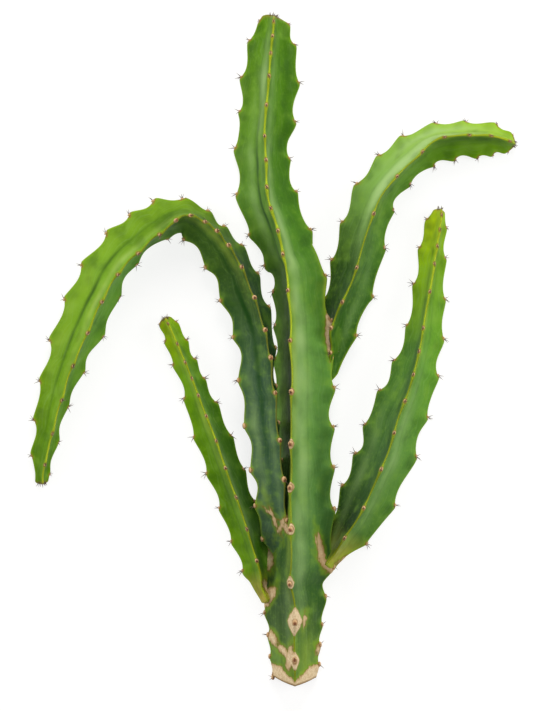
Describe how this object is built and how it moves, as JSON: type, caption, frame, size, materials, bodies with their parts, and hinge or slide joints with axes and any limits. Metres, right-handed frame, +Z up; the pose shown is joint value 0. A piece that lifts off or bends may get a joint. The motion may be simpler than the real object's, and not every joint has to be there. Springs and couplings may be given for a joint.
{
  "type": "dragon fruit cutting",
  "caption": "Cut stem of a climbing three-winged cactus with arching side stems, scalloped edges and short spines, lying on its back.",
  "frame": {"origin": "centre of the bounding box's bottom face, on the surface that the cutting lies on", "axes": "+Y from the cut end towards the tip of the main stem, +Z up from the surface, +X to the right seen from above with the tip away"},
  "size_m": [0.4091, 0.5614, 0.056],
  "materials": {
    "old_stem_skin": "waxy plant skin, deep green",
    "left_arching_skin": "waxy plant skin, green turning lighter at the tip",
    "right_arching_skin": "waxy plant skin, mid green",
    "right_lower_skin": "waxy plant skin, fresh green",
    "young_stem_skin": "waxy plant skin, light yellow-green"
  },
  "bodies": {
    "root": {"main_stem": "old_stem_skin", "left_arching_stem": "left_arching_skin", "right_arching_stem": "right_arching_skin", "right_lower_stem": "right_lower_skin", "left_lower_stem": "young_stem_skin"}
  },
  "joints": []
}
